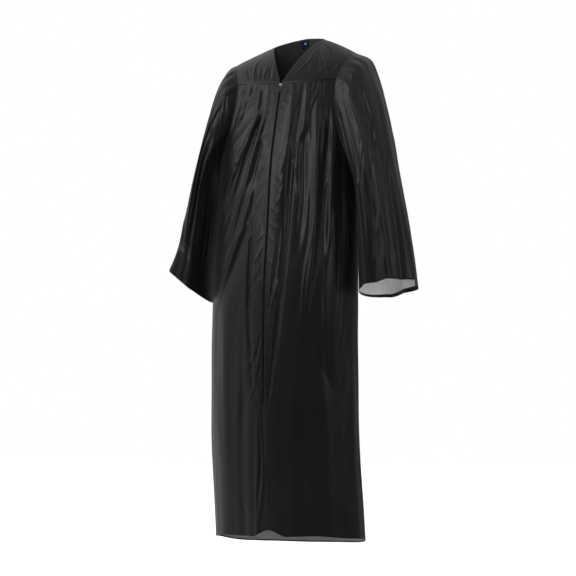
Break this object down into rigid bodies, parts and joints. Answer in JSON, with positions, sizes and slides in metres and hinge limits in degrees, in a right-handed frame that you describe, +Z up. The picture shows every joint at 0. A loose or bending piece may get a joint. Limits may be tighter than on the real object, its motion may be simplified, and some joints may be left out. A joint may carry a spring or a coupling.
{
  "type": "graduation gown",
  "caption": "Full-length black satin graduation gown with a V neck, gathered yokes, a long front zip and wide bell sleeves.",
  "frame": {"origin": "middle of the neck opening at the height of the shoulder points, where the wearer carries the gown", "axes": "+Z up along the garment, -Y out of its front, +X to the wearer's left"},
  "size_m": [0.7146, 0.2854, 1.3854],
  "materials": {
    "satin": "black polyester satin with a soft sheen",
    "zip_tape": "matt black woven tape",
    "zip_coil": "black nylon coil",
    "slider_metal": "plain die-cast metal",
    "pull_enamel": "black enamelled metal",
    "label": "plain navy woven label"
  },
  "bodies": {
    "gown": {"back": "satin", "front_left": "satin", "front_right": "satin", "sleeve_left": "satin", "sleeve_right": "satin", "yoke_back": "satin", "yoke_front_left": "satin", "yoke_front_right": "satin", "neck_label": "label", "zip_slider": "slider_metal", "zip_tape_left": "zip_tape", "zip_tape_right": "zip_tape", "zip_teeth": "zip_coil"},
    "pull_tab": {"zip_pull_tab": "pull_enamel"}
  },
  "joints": [
    {"name": "pull_tab_swing", "type": "hinge", "parent": "gown", "child": "pull_tab", "pos_m": [-0.00101, -0.12423, -0.13391], "axis": [-1, 0, 0], "range_deg": [0, 160]}
  ]
}
